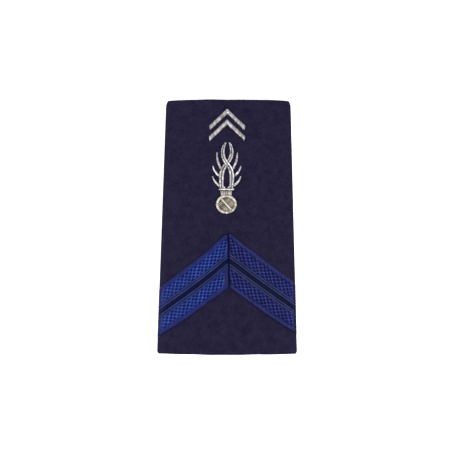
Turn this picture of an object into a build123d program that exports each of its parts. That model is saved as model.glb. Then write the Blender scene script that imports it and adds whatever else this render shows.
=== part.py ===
from build123d import *
import os
from collections import namedtuple
from functools import cache
from math import atan2, cos, pi, radians, sin, sqrt, tan

# Rank slide: a flattened cloth sleeve for a shoulder strap, lying on its back.
# X runs across the slide, Y towards its narrow end, Z out of its front.
# The origin is on the resting face, midway along and across. Millimetres.

# Cloth sleeve
slide_length = 100.0
wide_end_width = 54.7
narrow_end_width = 48.6
wide_end_height = 8.8
narrow_end_height = 8.4
cloth_wall = 1.0
side_fold_inner_radius = 0.35
hem_thickness = 0.7
hem_depth = 9.0
narrow_corner_radius = 1.7
wide_corner_radius = 1.1
lip_radius = 0.4

# Braid chevron: the middle of its black stripe starts at the apex and falls this
# far to each side, and the blue weave reaches this far above and below it, all
# measured along the slide. The left arm is sewn on a little lower than the right,
# and the mitre between them leans, so that its foot lies right of the middle.
braid_apex_from_wide_end = 37.2
left_arm_drop = 0.65
left_arm_fall = 20.4
right_arm_fall = 18.9
braid_above_at_mitre = 11.25
braid_below_at_mitre = 10.4
braid_above_at_side = 9.9
braid_below_at_side = 9.7
braid_apex_flat = 2.0
braid_thickness = 0.9
braid_end_inset = 0.25
mitre_gap = 0.3
mitre_foot_shift = 0.5
stripe_width = 1.3
stripe_channel_depth = 0.45
stripe_thickness = 0.3

# Silver chevrons near the narrow end
silver_chevron_shift = -0.45
silver_chevron_from_narrow_end = 3.9
silver_chevron_span = 14.0
silver_chevron_slope = 43.3
silver_chevron_width = 1.7
silver_chevron_pitch = 4.1
silver_chevron_corner = 0.35
silver_thickness = 0.7

# Flaming grenade: the tops of its flames lean a little to the right
grenade_shift = -0.6
flame_tip_from_narrow_end = 17.15
flame_height = 17.7
flame_half_span = 5.5
flame_lean = 0.3
strand_width = 1.9
side_flame_width = 1.0
collar_width = 5.8
collar_height = 0.65
neck_top_width = 4.5
neck_foot_width = 3.7
neck_height = 1.8
ball_width = 8.2
ball_height = 7.4
ball_rim_width = 0.95
ball_fill_thickness = 0.5
ball_ridge_width = 0.8
ball_ridge_slope = -47.0

# Clearances
seat_gap = 0.05
piece_gap = 0.1
cut_margin = 2.0

# A station of an embroidered flame: across and up are shares of flame_half_span
# and flame_height, and width is a share of the flame's own full width
Station = namedtuple("Station", "across up width")
MAIN_FLAME = [
    Station(0.335, 0.000, 0.72),
    Station(0.360, 0.110, 0.90),
    Station(0.375, 0.245, 1.00),
    Station(0.325, 0.365, 0.98),
    Station(0.155, 0.480, 0.88),
    Station(-0.095, 0.580, 0.80),
    Station(-0.270, 0.690, 0.78),
    Station(-0.320, 0.810, 0.74),
    Station(-0.250, 0.922, 0.54),
    Station(-0.115, 1.000, 0.22),
]
SIDE_FLAMES = {
    "upper": [
        Station(0.350, 0.384, 0.90),
        Station(0.480, 0.463, 1.00),
        Station(0.625, 0.566, 1.00),
        Station(0.700, 0.668, 0.80),
        Station(0.722, 0.780, 0.40),
    ],
    "middle": [
        Station(0.420, 0.255, 0.90),
        Station(0.600, 0.285, 1.00),
        Station(0.736, 0.330, 0.98),
        Station(0.900, 0.400, 0.78),
        Station(0.990, 0.485, 0.40),
    ],
    "lower": [
        Station(0.400, 0.028, 0.90),
        Station(0.520, 0.055, 0.98),
        Station(0.736, 0.115, 0.98),
        Station(0.900, 0.185, 0.78),
        Station(1.000, 0.258, 0.40),
    ],
}

fold_radius = side_fold_inner_radius + cloth_wall
half_length = slide_length / 2


def along(y, wide_end, narrow_end):
    """Value at y of a size that changes evenly from the wide end to the narrow end."""
    return wide_end + (narrow_end - wide_end) * (y + half_length) / slide_length


def half_width_at(y):
    return along(y, wide_end_width, narrow_end_width) / 2


def crown_at(y):
    """Height of the centre and radius of the front's crown, tangent to both side folds."""
    height = along(y, wide_end_height, narrow_end_height)
    reach = half_width_at(y) - fold_radius
    rise = height - fold_radius
    radius = (reach**2 + rise**2 - fold_radius**2) / (2 * (rise - fold_radius))
    return height - radius, radius


def arc(y, centre, radius, start, end):
    """Arc of a section at y about centre (x, z), between two angles."""
    angles = (start, (start + end) / 2, end)
    points = [(centre[0] + radius * cos(a), y, centre[1] + radius * sin(a)) for a in angles]
    return ThreePointArc(*points)


def front_edges(y, inset, start):
    """Right fold, crown and left fold of a section, inset from the cloth's outer face.

    start is the angle at which the right fold begins, counted from straight out.
    """
    crown_z, crown_radius = crown_at(y)
    fold = max(fold_radius - inset, side_fold_inner_radius)
    fold_z = inset + fold
    reach = sqrt((crown_radius - inset - fold) ** 2 - (fold_z - crown_z) ** 2)
    contact = atan2(fold_z - crown_z, reach)
    return [
        arc(y, (reach, fold_z), fold, start, contact),
        arc(y, (0, crown_z), crown_radius - inset, contact, pi - contact),
        arc(y, (-reach, fold_z), fold, pi - contact, pi - start),
    ]


def tube(start_y, end_y, inset):
    """Everything inside an outline that is inset from the cloth's outer face."""
    start = front_edges(start_y, inset, -pi / 2)
    end = front_edges(end_y, inset, -pi / 2)
    folds_and_crown = [Face.make_surface_from_curves(a, b) for a, b in zip(start, end)]
    flat_back = polygon(start[0] @ 0, end[0] @ 0, end[-1] @ 1, start[-1] @ 1)
    closed_ends = [make_face([*edges, Line(edges[-1] @ 1, edges[0] @ 0)]) for edges in (start, end)]
    return Solid(Shell([*folds_and_crown, flat_back, *closed_ends]))


def skin_section(y, low, high):
    """Outline at y of a layer on the front, from low to high above the cloth."""
    under = front_edges(y, -low, 0)
    over = front_edges(y, -high, 0)
    right_end = Line(under[0] @ 0, over[0] @ 0)
    left_end = Line(under[-1] @ 1, over[-1] @ 1)
    return Wire([*under, left_end, *over, right_end])


@cache
def skin(low, high):
    """The layer over the whole front, from low to high above the cloth."""
    sections = [skin_section(y, low, high) for y in (-half_length, half_length)]
    return Solid.make_loft(sections, ruled=True)


def column(face):
    """A plan outline raised through the whole slide."""
    tall = max(wide_end_height, narrow_end_height) + braid_thickness + cut_margin
    return extrude(face, amount=tall, dir=(0, 0, 1))


def applied(outline, low, high):
    """A piece laid on the front: its plan outline cut out of a layer of the skin."""
    return skin(seat_gap + low, seat_gap + high) & column(outline)


def polygon(*points):
    return make_face(Polyline(*points, close=True))


def corner_cutter(way, radius):
    """What rounding takes off both corners of an end, in plan; way is 1 at the narrow end."""
    end_y = way * half_length
    start_y = end_y - way * radius
    side_x = half_width_at(start_y)
    centre_x = side_x - radius
    outer_x = side_x + cut_margin
    beyond_y = end_y + way * cut_margin
    diagonal = radius * cos(pi / 4)
    rounding = ThreePointArc(
        (side_x, start_y), (centre_x + diagonal, start_y + way * diagonal), (centre_x, end_y)
    )
    rest = Polyline(
        (centre_x, end_y),
        (centre_x, beyond_y),
        (outer_x, beyond_y),
        (outer_x, start_y),
        (side_x, start_y),
    )
    right = make_face([rounding, *rest.edges()])
    return right + mirror(right, about=Plane.YZ)


def cloth_sleeve():
    """The cloth tube, open at both ends, with its hems turned in and its lips rounded."""
    sleeve = tube(-half_length, half_length, 0)
    ends = sleeve.edges().group_by(Axis.Y)
    sleeve = sleeve.fillet(lip_radius, ends[0] + ends[-1])
    past_end = half_length + cut_margin
    hem_end = half_length - hem_depth
    sleeve -= tube(-past_end, past_end, cloth_wall + hem_thickness)
    sleeve -= tube(-hem_end, hem_end, cloth_wall)
    sleeve -= column(corner_cutter(1, narrow_corner_radius))
    sleeve -= column(corner_cutter(-1, wide_corner_radius))
    return sleeve


stripe_apex_y = braid_apex_from_wide_end - half_length


def side_point(y):
    """Where the braid ends, just inside the slide's side."""
    return half_width_at(y) - braid_end_inset, y


def on_line(start, end, x):
    """The point at x on the line from start to end."""
    return x, start[1] + (end[1] - start[1]) * (x - start[0]) / (end[0] - start[0])


def seam_at(facing, up):
    """How far from the middle an arm begins, up above the apex of its stripe."""
    share = (braid_above_at_mitre - up) / (braid_above_at_mitre + braid_below_at_mitre)
    return mitre_gap / 2 + facing * share * mitre_foot_shift


def arm_outline(facing, apex_y, fall):
    """An arm of the braid in plan, drawn to the right, with its apex folded flat."""
    side_y = apex_y - fall
    top_side = side_point(side_y + braid_above_at_side)
    foot_side = side_point(side_y - braid_below_at_side)
    top_mitre = (0, apex_y + braid_above_at_mitre)
    foot_mitre = (0, apex_y - braid_below_at_mitre)
    clip = on_line(top_mitre, top_side, braid_apex_flat / 2)
    return polygon(
        (seam_at(facing, braid_above_at_mitre), clip[1]),
        clip,
        top_side,
        foot_side,
        on_line(foot_mitre, foot_side, seam_at(facing, -braid_below_at_mitre)),
    )


def stripe_outline(facing, apex_y, fall, width):
    """The black stripe in plan, or the channel that it lies in, drawn to the right."""
    side_y = apex_y - fall
    slope = atan2(fall, side_point(side_y)[0])
    rise = width / 2 / cos(slope)
    top_side = side_point(side_y + rise)
    foot_side = side_point(side_y - rise)
    return polygon(
        on_line((0, apex_y + rise), top_side, seam_at(facing, rise)),
        top_side,
        foot_side,
        on_line((0, apex_y - rise), foot_side, seam_at(facing, -rise)),
    )


def on_side(outline, facing):
    return outline if facing == 1 else mirror(outline, about=Plane.YZ)


def braid_arm(facing, apex_y, fall):
    """One woven blue arm, with the channel that its black stripe lies in."""
    outline = on_side(arm_outline(facing, apex_y, fall), facing)
    channel_floor = braid_thickness - stripe_channel_depth
    channel = on_side(stripe_outline(facing, apex_y, fall, stripe_width), facing)
    arm = applied(outline, 0, braid_thickness)
    return arm - applied(channel, channel_floor, braid_thickness + cut_margin)


def braid_stripe(facing, apex_y, fall):
    low = braid_thickness - stripe_channel_depth + seat_gap
    outline = stripe_outline(facing, apex_y, fall, stripe_width - 2 * seat_gap)
    return applied(on_side(outline, facing), low, low + stripe_thickness)


def silver_chevron(index):
    """A small embroidered chevron with upright ends; index 0 is nearest the narrow end."""
    half_span = silver_chevron_span / 2
    drop = tan(radians(silver_chevron_slope)) * half_span
    depth = silver_chevron_width / cos(radians(silver_chevron_slope))
    outline = polygon(
        (0, 0),
        (half_span, -drop),
        (half_span, -drop - depth),
        (0, -depth),
        (-half_span, -drop - depth),
        (-half_span, -drop),
    )
    ends = [v for v in outline.vertices() if abs(v.X) > half_span / 2]
    outline = fillet(ends, silver_chevron_corner)
    apex_y = half_length - silver_chevron_from_narrow_end - index * silver_chevron_pitch
    return applied(Pos(silver_chevron_shift, apex_y) * outline, 0, silver_thickness)


flame_root_y = half_length - flame_tip_from_narrow_end - flame_height


def flame_outline(stations, full_width, side, extra=0):
    """A flame in plan, its edges either side of a smooth middle line, extra wider all round."""
    facing = 1 if side == "right" else -1
    points = [
        (
            grenade_shift + facing * s.across * flame_half_span + s.up * flame_lean,
            flame_root_y + s.up * flame_height,
        )
        for s in stations
    ]
    middle = Spline(*points)
    left, right = [], []
    for point, s in zip(points, stations):
        share = middle.param_at_point(point)
        sideways = (middle % share).rotate(Axis.Z, 90) * (s.width * full_width / 2 + extra)
        left.append(middle @ share + sideways)
        right.append(middle @ share - sideways)
    tip_length = stations[-1].width * full_width / 2 + extra
    tip = ThreePointArc(left[-1], middle @ 1 + middle % 1 * tip_length, right[-1])
    root = Line(right[0], left[0])
    return make_face([Spline(*left), tip, Spline(*right), root])


def main_flame(side):
    """One of the two crossing strands; the one rooted on the right lies on top."""
    outline = flame_outline(MAIN_FLAME, strand_width, side)
    if side == "left":
        outline -= flame_outline(MAIN_FLAME, strand_width, "right", piece_gap)
    return applied(outline, 0, silver_thickness)


def side_flame(stations, side):
    """A small flame that grows out of the strand beside it."""
    outline = flame_outline(stations, side_flame_width, side)
    outline -= flame_outline(MAIN_FLAME, strand_width, side, piece_gap)
    return applied(outline, 0, silver_thickness)


collar_y = flame_root_y - piece_gap - collar_height / 2
neck_top_y = collar_y - collar_height / 2 - piece_gap
ball_y = neck_top_y - neck_height + piece_gap - ball_height / 2


def ball_disc(inset):
    disc = Ellipse(ball_width / 2 - inset, ball_height / 2 - inset)
    return Pos(grenade_shift, ball_y) * disc


def grenade_collar():
    bar = RectangleRounded(collar_width, collar_height, collar_height * 0.45)
    return applied(Pos(grenade_shift, collar_y) * bar, 0, silver_thickness)


def grenade_neck():
    """The neck under the collar, ending in a hollow that fits the ball's round top."""
    foot_y = ball_y + ball_height / 4
    shape = polygon(
        (grenade_shift - neck_top_width / 2, neck_top_y),
        (grenade_shift + neck_top_width / 2, neck_top_y),
        (grenade_shift + neck_foot_width / 2, foot_y),
        (grenade_shift - neck_foot_width / 2, foot_y),
    )
    return applied(shape - ball_disc(-piece_gap), 0, ball_fill_thickness)


def ball_rim():
    return applied(ball_disc(0) - ball_disc(ball_rim_width), 0, silver_thickness)


def ridge_bar(width):
    return Pos(grenade_shift, ball_y) * Rot(0, 0, ball_ridge_slope) * Rectangle(ball_width, width)


def ball_ridge():
    inside = ball_disc(ball_rim_width + piece_gap)
    return applied(ridge_bar(ball_ridge_width) & inside, 0, silver_thickness)


def ball_fill():
    """The two stitched halves of the ball, either side of its ridge."""
    inside = ball_disc(ball_rim_width + piece_gap)
    return applied(inside - ridge_bar(ball_ridge_width + 2 * piece_gap), 0, ball_fill_thickness)


def all_pieces():
    pieces = {"sleeve": cloth_sleeve()}
    arms = (("left", -1, left_arm_drop, left_arm_fall), ("right", 1, 0, right_arm_fall))
    for side, facing, drop, fall in arms:
        apex_y = stripe_apex_y - drop
        pieces[f"braid_{side}"] = braid_arm(facing, apex_y, fall)
        pieces[f"braid_stripe_{side}"] = braid_stripe(facing, apex_y, fall)
        pieces[f"flame_main_{side}"] = main_flame(side)
        for name, stations in SIDE_FLAMES.items():
            pieces[f"flame_{name}_{side}"] = side_flame(stations, side)
    for index, name in enumerate(("upper", "lower")):
        pieces[f"silver_chevron_{name}"] = silver_chevron(index)
    pieces["grenade_collar"] = grenade_collar()
    pieces["grenade_neck"] = grenade_neck()
    pieces["grenade_ball_rim"] = ball_rim()
    pieces["grenade_ball_ridge"] = ball_ridge()
    pieces["grenade_ball_fill"] = ball_fill()
    return pieces


os.makedirs("parts", exist_ok=True)
for name, piece in all_pieces().items():
    solids = piece.solids()
    whole = solids[0] if len(solids) == 1 else Compound(children=solids)
    export_step(whole, f"parts/{name}.step")
    print(name, len(solids), round(whole.volume, 2))
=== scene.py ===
# %% [markdown]
# # A rank slide for a shoulder strap
# The real object is a sleeve of navy wool cloth that slips over the strap of a uniform. A woven
# blue braid with a black stripe is sewn across its front as a chevron, and two small chevrons and
# a flaming grenade are embroidered above it in silver thread.
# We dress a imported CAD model. It gives every piece its place, so each mesh below is made straight
# in the model's own frame: X across the slide, Y towards its narrow end, Z out of its front.

# %% Load the frame
import bmesh
import bpy
import math
import random
import numpy as np
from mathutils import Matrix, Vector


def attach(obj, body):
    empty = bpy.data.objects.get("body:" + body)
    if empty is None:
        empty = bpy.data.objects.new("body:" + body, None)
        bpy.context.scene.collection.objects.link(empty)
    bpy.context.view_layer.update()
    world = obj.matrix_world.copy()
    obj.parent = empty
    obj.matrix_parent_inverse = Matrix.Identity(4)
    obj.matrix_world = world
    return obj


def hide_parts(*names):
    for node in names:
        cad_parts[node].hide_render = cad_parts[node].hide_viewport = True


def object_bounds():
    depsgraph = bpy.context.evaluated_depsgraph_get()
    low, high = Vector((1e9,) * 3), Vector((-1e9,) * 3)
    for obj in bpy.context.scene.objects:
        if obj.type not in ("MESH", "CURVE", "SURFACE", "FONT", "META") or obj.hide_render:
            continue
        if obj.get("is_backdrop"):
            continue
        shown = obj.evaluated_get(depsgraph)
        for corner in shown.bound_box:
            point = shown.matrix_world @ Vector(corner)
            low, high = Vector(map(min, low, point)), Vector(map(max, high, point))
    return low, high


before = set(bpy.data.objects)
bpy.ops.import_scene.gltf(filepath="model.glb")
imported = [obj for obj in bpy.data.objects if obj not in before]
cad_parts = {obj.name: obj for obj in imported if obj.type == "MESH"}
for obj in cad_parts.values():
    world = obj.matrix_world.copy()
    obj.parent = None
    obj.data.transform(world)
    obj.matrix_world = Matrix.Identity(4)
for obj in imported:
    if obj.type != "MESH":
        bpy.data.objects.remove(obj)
cad_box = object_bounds()
MM = 0.001
print("nodes in the frame:", len(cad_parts))

# %% [markdown]
# ## The slide's own sizes
# A maker starts from a few measures: the length, the width of both ends, how high the cloth
# stands, and how tightly it folds at the sides. All are in millimetres, and a mesh is turned to
# metres only when it is made. The weave and the stitches later are laid out with the same numbers.

# %% Sizes of the sleeve
LENGTH = 100.0
HALF_LENGTH = LENGTH / 2
WIDE_END_WIDTH, NARROW_END_WIDTH = 54.7, 48.6
WIDE_END_HEIGHT, NARROW_END_HEIGHT = 8.8, 8.4
CLOTH_WALL = 1.0
HEM_THICKNESS = 0.7
HEM_DEPTH = 9.0
SIDE_FOLD_INNER_RADIUS = 0.35
SIDE_FOLD_RADIUS = SIDE_FOLD_INNER_RADIUS + CLOTH_WALL
NARROW_CORNER_RADIUS, WIDE_CORNER_RADIUS = 1.2, 0.5


def along(y, wide_end, narrow_end):
    """Value at y of a size that changes evenly from the wide end to the narrow end."""
    return wide_end + (narrow_end - wide_end) * (y + HALF_LENGTH) / LENGTH


def crown_at(y):
    """Half width, height of the crown's centre and radius of the crown at y."""
    half_width = along(y, WIDE_END_WIDTH, NARROW_END_WIDTH) / 2
    height = along(y, WIDE_END_HEIGHT, NARROW_END_HEIGHT)
    reach = half_width - SIDE_FOLD_RADIUS
    rise = height - SIDE_FOLD_RADIUS
    radius = (reach**2 + rise**2 - SIDE_FOLD_RADIUS**2) / (2 * (rise - SIDE_FOLD_RADIUS))
    return half_width, height - radius, radius


print("crown radius, wide and narrow end:", [round(crown_at(y)[2], 1) for y in (-50.0, 50.0)])

# %% [markdown]
# ## Where a piece lies on the front
# Everything on the front follows one curved skin: a shallow crown that turns down round a tight
# fold at each side. One function gives a point of that skin, so that braid and stitches can be
# drawn flat, as on a cutting table, and still lie on the cloth. The cloth also has a few soft
# swells of a tenth of a millimetre or two, because pressed wool is never quite even. The pieces
# on it use the same swells, so nothing sinks in or floats.

# %% A point on the front
SWELLS = [
    # height, length across, length along, start across, start along
    (0.10, 31.0, 47.0, 0.15, 0.40),
    (0.06, 17.0, 29.0, 0.55, 0.10),
    (0.03, 9.0, 13.0, 0.30, 0.75),
]
SWELL_REACH_WIDE_END, SWELL_REACH_NARROW_END = 26.0, 23.0


def swell(across, y):
    """Height of the cloth's soft unevenness, none at the side folds."""
    total = sum(
        height * np.sin(2 * np.pi * (across / wave + start)) * np.cos(2 * np.pi * (y / run + begin))
        for height, wave, run, start, begin in SWELLS
    )
    reach = along(y, SWELL_REACH_WIDE_END, SWELL_REACH_NARROW_END)
    share = np.clip(np.abs(across) / reach, 0, 1)
    return total * (1 - share**6)


def contact_across(y, base=0.0):
    """Distance across at which the crown meets the side fold, and the angle of that place."""
    half_width, crown_z, radius = crown_at(y)
    contact = np.arctan2(SIDE_FOLD_RADIUS - crown_z, half_width - SIDE_FOLD_RADIUS)
    return (radius + base) * np.cos(contact), contact


def front_point(across, y, lift, base=0.0):
    """Point that is lift above the front's cloth.

    across is the distance from the middle in plan, read at height base above the cloth, and
    beyond the crown it runs on round the side fold.
    """
    across, y = np.asarray(across, float), np.asarray(y, float)
    half_width, crown_z, radius = crown_at(y)
    contact_x, contact = contact_across(y, base)
    beyond = np.abs(across) - contact_x
    on_fold = beyond > 0
    crown_angle = np.arccos(np.minimum(np.abs(across), contact_x) / (radius + base))
    fold_angle = contact - np.maximum(beyond, 0) / (SIDE_FOLD_RADIUS + base)
    angle = np.where(on_fold, fold_angle, crown_angle)
    distance = np.where(on_fold, SIDE_FOLD_RADIUS, radius) + lift + swell(across, y)
    centre_x = np.where(on_fold, half_width - SIDE_FOLD_RADIUS, 0)
    x = np.sign(across) * (centre_x + distance * np.cos(angle))
    z = np.where(on_fold, SIDE_FOLD_RADIUS, crown_z) + distance * np.sin(angle)
    return np.stack([x, y + 0 * x, z], axis=-1)


print("front at the middle:", front_point(0.0, 0.0, 0.0).round(2))

# %% [markdown]
# ## Turning lists of points into pieces
# Blender takes a mesh as points and faces. This helper makes the object, shades it smooth, lets it
# ride on the model's one body, hides the CAD pieces that it stands for and gives it its finish. It
# also turns every face outwards, as mirrored points would leave some of them inside out.

# %% Make a piece


def face_outwards(mesh):
    """Turns each closed surface of a mesh the right side out."""
    surfaces = bmesh.new()
    surfaces.from_mesh(mesh)
    bmesh.ops.recalc_face_normals(surfaces, faces=surfaces.faces)
    surfaces.to_mesh(mesh)
    surfaces.free()


def make_piece(name, points, faces, material, nodes=(), attributes=None):
    """A piece from points in mm; attributes are named lists with one number a point."""
    mesh = bpy.data.meshes.new(name)
    mesh.from_pydata((np.asarray(points, float) * MM).tolist(), [], faces)
    mesh.validate()
    face_outwards(mesh)
    mesh.polygons.foreach_set("use_smooth", [True] * len(mesh.polygons))
    for key, values in (attributes or {}).items():
        layer = mesh.attributes.new(key, "FLOAT", "POINT")
        layer.data.foreach_set("value", np.asarray(values, float))
    mesh.materials.append(material)
    piece = bpy.data.objects.new(name, mesh)
    bpy.context.scene.collection.objects.link(piece)
    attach(piece, "root")
    if nodes:
        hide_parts(*nodes)
    print(name, "triangles:", sum(len(p.vertices) - 2 for p in mesh.polygons))
    return piece


# %% [markdown]
# ## Helpers for materials
# A colour is written as the hex value that a screen shows. Blender's shaders count light evenly,
# so one function turns it to linear. Another adds one node with its settings and links.

# %% Colours and nodes


def linear(hex_colour):
    """Linear RGBA of an sRGB colour such as #1b2a6b."""
    shares = [int(hex_colour[i : i + 2], 16) / 255 for i in (1, 3, 5)]
    return [s / 12.92 if s <= 0.04045 else ((s + 0.055) / 1.055) ** 2.4 for s in shares] + [1.0]


def new_material(name):
    material = bpy.data.materials.new(name)
    material.use_nodes = True
    return material, material.node_tree.nodes["Principled BSDF"]


def add_node(material, kind, settings=(), links=()):
    """Adds a node; settings are its properties or input values, links its inputs' sources."""
    node = material.node_tree.nodes.new(kind)
    for key, value in dict(settings).items():
        if isinstance(key, str) and hasattr(node, key):
            setattr(node, key, value)
        else:
            node.inputs[key].default_value = value
    for key, source in dict(links).items():
        material.node_tree.links.new(source, node.inputs[key])
    return node


print("half grey in linear light:", round(linear("#808080")[0], 3))

# %% [markdown]
# ## Milled wool cloth
# Uniform cloth is wool that is woven, then milled: the weave felts together and nearly vanishes.
# What the eye sees is a matt, very dark violet navy with a faint grain, and a soft paler bloom
# where it turns away, from the fibres that stand up. Sheen makes that bloom. A coarse noise makes
# the uneven dye and a fine one the grain of the milled face. A single fibre is too fine to show,
# so the grain is drawn as tufts of 0.45 mm. Two crossing waves are the warp and weft that still
# show through from close by: yarns of 0.32 mm, bent a little by the milling. At scale 1 a wave
# texture's bands repeat after 2 pi / 20, which gives the scale for a real width.

# %% Wool material
WAVE_REPEAT = 2 * math.pi / 20
YARN_MM = 0.32
GRAIN_MM = 0.45
MOTTLE_MM = 3.0


def milled_wool():
    material, shader = new_material("milled_wool_cloth")
    place = add_node(material, "ShaderNodeTexCoord")
    warp, weft = (
        add_node(
            material,
            "ShaderNodeTexWave",
            {
                "bands_direction": direction,
                "Scale": WAVE_REPEAT / (YARN_MM * MM),
                "Distortion": 2.5,
                "Detail": 2.0,
                "Detail Scale": 0.4,
            },
            {"Vector": place.outputs["Object"]},
        )
        for direction in ("X", "Y")
    )
    mottle = add_node(
        material,
        "ShaderNodeTexNoise",
        {"Scale": 1 / (MOTTLE_MM * MM), "Detail": 3.0, "Roughness": 0.6},
        {"Vector": place.outputs["Object"]},
    )
    grain = add_node(
        material,
        "ShaderNodeTexNoise",
        {"Scale": 1 / (GRAIN_MM * MM), "Detail": 3.0, "Roughness": 0.75},
        {"Vector": place.outputs["Object"]},
    )
    weave = add_node(
        material,
        "ShaderNodeMath",
        {"operation": "ADD"},
        {0: warp.outputs["Fac"], 1: weft.outputs["Fac"]},
    )
    face = add_node(
        material,
        "ShaderNodeMath",
        {"operation": "MULTIPLY_ADD", 1: 0.08},
        {0: weave.outputs["Value"], 2: grain.outputs["Fac"]},
    )
    both = add_node(
        material,
        "ShaderNodeMath",
        {"operation": "MULTIPLY_ADD", 1: 2.2},
        {0: face.outputs["Value"], 2: mottle.outputs["Fac"]},
    )
    share = add_node(
        material,
        "ShaderNodeMapRange",
        {"From Min": 1.42, "From Max": 2.13},
        {"Value": both.outputs["Value"]},
    )
    dye = add_node(
        material,
        "ShaderNodeMix",
        {"data_type": "RGBA", 6: linear("#0d0a1f"), 7: linear("#201c32")},
        {"Factor": share.outputs["Result"]},
    )
    bump = add_node(
        material,
        "ShaderNodeBump",
        {"Strength": 0.5, "Distance": 0.1 * MM},
        {"Height": face.outputs["Value"]},
    )
    material.node_tree.links.new(dye.outputs[2], shader.inputs["Base Color"])
    material.node_tree.links.new(bump.outputs["Normal"], shader.inputs["Normal"])
    shader.inputs["Roughness"].default_value = 0.95
    shader.inputs["IOR"].default_value = 1.45
    shader.inputs["Specular IOR Level"].default_value = 0.1
    shader.inputs["Sheen Weight"].default_value = 0.06
    shader.inputs["Sheen Roughness"].default_value = 0.6
    shader.inputs["Sheen Tint"].default_value = linear("#6f6a92")
    return material


WOOL = milled_wool()
print("material:", WOOL.name)

# %% [markdown]
# ## The cloth sleeve
# The real sleeve is one piece of cloth, folded into a flat tube, closed by a seam down its back,
# with both ends turned in as hems. It is built the same way here: a closed ring of points for
# each station along the slide, from the outer face over the rounded lip of the hem, along the
# hem inside, over its cut edge and along the inner face to the other end. That gives the wall its
# real thickness, and a view into the tube shows two layers of cloth at the mouth. The folds spring
# out by 0.2 mm more than the pressed width, and the braid pulls itself into them. Both ends were
# cut a hair out of square, and the press left them a little uneven.

# %% Ring of points round the tube
SEAM_HALF_WIDTH = 0.55
SEAM_DEPTH = 0.28
SIDE_SPRING = 1.0085
CORNER_REACH = 5.0
BACK_SHARES = np.array([0.0, 0.006, 0.012, 0.018, 0.026, 0.05, 0.1, 0.2, 0.35, 0.5, 0.65, 0.8, 0.92])
FOLD_STEPS, CROWN_STEPS = 14, 44


def tube_ring(y, inset, groove):
    """Section of the tube: middle of the back, right side, middle of the front, left side."""
    _, crown_z, radius = crown_at(y)
    fold = max(SIDE_FOLD_RADIUS - inset, SIDE_FOLD_INNER_RADIUS)
    fold_z = inset + fold
    reach = math.sqrt((radius - inset - fold) ** 2 - (fold_z - crown_z) ** 2)
    contact = math.atan2(fold_z - crown_z, reach)
    back_x = BACK_SHARES * reach
    seam = np.clip(1 - (back_x / SEAM_HALF_WIDTH) ** 2, 0, 1) * SEAM_DEPTH * groove
    back = np.stack([back_x, inset + seam], axis=-1)
    turns = np.linspace(-np.pi / 2, contact, FOLD_STEPS, endpoint=False)
    side = np.stack([reach + fold * np.cos(turns), fold_z + fold * np.sin(turns)], axis=-1)
    sweep = np.linspace(contact, np.pi / 2, CROWN_STEPS + 1)
    arch = np.stack([np.cos(sweep), np.sin(sweep)], axis=-1)
    halves = []
    for way in (1, -1):
        rise = radius - inset + swell(way * radius * np.cos(sweep), y)
        halves.append(np.concatenate([back, side, arch * rise[:, None] + [0, crown_z]]))
    right, left = halves
    return np.concatenate([right, left[-2:0:-1] * [-1, 1]]) * [SIDE_SPRING, 1]


def corner_pull(x, y):
    """How far a rounded corner draws the end of the tube in at x."""
    radius = NARROW_CORNER_RADIUS if y > 0 else WIDE_CORNER_RADIUS
    half_width = along(y, WIDE_END_WIDTH, NARROW_END_WIDTH) / 2
    into = np.clip(np.abs(x) - (half_width - radius), 0, radius)
    pull = radius - np.sqrt(radius**2 - into**2)
    near = np.clip(1 - (HALF_LENGTH - abs(y)) / CORNER_REACH, 0, 1)
    return pull * near**2 * (3 - 2 * near)


print("points round the tube:", len(tube_ring(0.0, 0.0, 1.0)))

# %% Run along the tube and close it
HEM_WALL = CLOTH_WALL + HEM_THICKNESS
# distance back from the end, or from the hem's cut edge, and depth below the cloth's face
LIP_TOP = [(0.75, 0.0), (0.42, 0.07), (0.16, 0.26), (0.02, 0.58)]
LIP_FOOT = [(back, HEM_WALL - inset) for back, inset in reversed(LIP_TOP)]
LIP = [*LIP_TOP, (0.0, HEM_WALL / 2), *LIP_FOOT]
HEM_EDGE = [(0.0, HEM_WALL), (0.1, 1.45), (0.3, 1.15), (0.6, CLOTH_WALL)]
FACE_START, HEM_START, HEM_STOP, INNER_START = 1.2, 1.6, 0.4, 1.4
FACE_RINGS, HEM_RINGS, INNER_RINGS = 96, 8, 18
END_RECESS, END_SKEW, END_REACH = 0.12, 0.1, 6.0
LONG_WAVE, LONG_WAVE_SIZE, SHORT_WAVE, SHORT_WAVE_SIZE = 4.1, 0.05, 1.9, 0.03


def tube_profile():
    """The wall's closed outline as (y, inset) pairs."""
    cut = HALF_LENGTH - HEM_DEPTH
    face_end = HALF_LENGTH - FACE_START
    outer = [(y, 0.0) for y in np.linspace(-face_end, face_end, FACE_RINGS)]
    lip = [(HALF_LENGTH - back, inset) for back, inset in LIP]
    hem = [(y, HEM_WALL) for y in np.linspace(HALF_LENGTH - HEM_START, cut + HEM_STOP, HEM_RINGS)]
    edge = [(cut - back, inset) for back, inset in HEM_EDGE]
    inner = [(y, CLOTH_WALL) for y in np.linspace(cut - INNER_START, 0, INNER_RINGS)[:-1]]
    inside = lip + hem + edge + inner
    return outer + inside + [(0.0, CLOTH_WALL)] + [(-y, inset) for y, inset in reversed(inside)]


def grid_faces(rows, columns, close_rows, close_columns, start=0):
    """Quads of a grid of points, with either way closed on itself."""
    faces = []
    for i in range(rows if close_rows else rows - 1):
        for j in range(columns if close_columns else columns - 1):
            a, b = i * columns, (i + 1) % rows * columns
            k = (j + 1) % columns
            faces.append((start + a + j, start + a + k, start + b + k, start + b + j))
    return faces


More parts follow.
